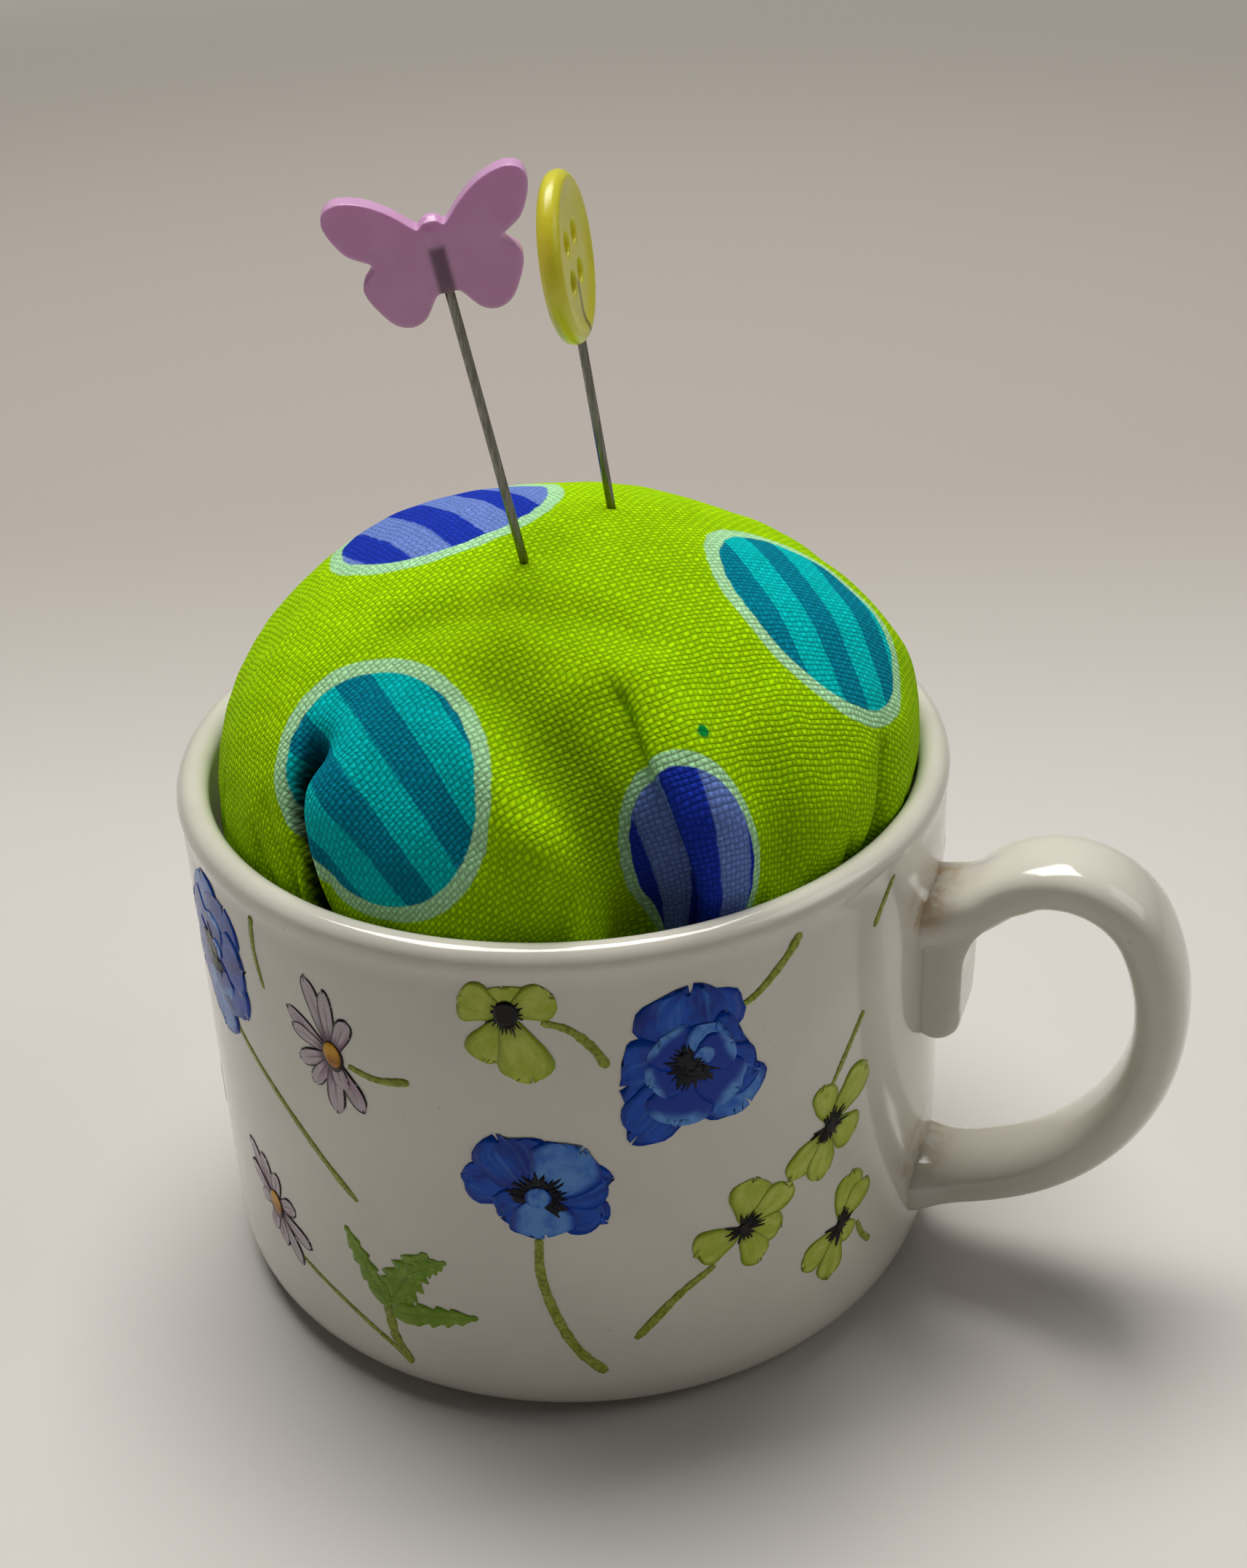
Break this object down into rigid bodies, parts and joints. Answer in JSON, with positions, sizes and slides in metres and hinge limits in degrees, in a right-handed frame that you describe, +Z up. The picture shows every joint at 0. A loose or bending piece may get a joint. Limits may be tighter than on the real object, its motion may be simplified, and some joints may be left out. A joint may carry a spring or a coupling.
{
  "type": "pin cushion",
  "caption": "Padded cotton ball glued into a small handled china cup with flower transfers, holding a butterfly-headed pin and a button-headed pin.",
  "frame": {"origin": "centre of the cup's foot ring, on the surface that the cup stands on", "axes": "+Z up along the cup's axis; +X from the cup's axis towards the middle of its handle"},
  "size_m": [0.0702, 0.053, 0.0795],
  "materials": {
    "china": "gloss",
    "blue_print": "gloss",
    "olive_print": "gloss",
    "white_print": "gloss",
    "green_print": "gloss",
    "cotton": "matte",
    "fibrefill": "matte",
    "thread": "matte",
    "hot_glue": "satin",
    "mauve_plastic": "satin",
    "yellow_plastic": "gloss",
    "pin_steel": "polished"
  },
  "bodies": {
    "cup": {"cup_body": "china", "cup_handle": "china", "anemone_transfers": "blue_print", "pansy_transfers": "olive_print", "daisy_transfers": "white_print", "leaf_transfers": "green_print", "fabric_cover": "cotton", "stuffing": "fibrefill", "gathering_thread": "thread", "wall_glue": "hot_glue", "floor_glue": "hot_glue"},
    "butterfly_pin": {"butterfly_head": "mauve_plastic", "butterfly_shaft": "pin_steel"},
    "button_pin": {"button_head": "yellow_plastic", "button_shaft": "pin_steel"}
  },
  "joints": [
    {"name": "butterfly_pin_slide", "type": "slide", "parent": "cup", "child": "butterfly_pin", "axis": [-0.149, -0.1164, 0.982], "range_m": [-0.0155, 0.028]},
    {"name": "button_pin_slide", "type": "slide", "parent": "cup", "child": "button_pin", "axis": [-0.1146, -0.0463, 0.9923], "range_m": [-0.011, 0.032]}
  ]
}
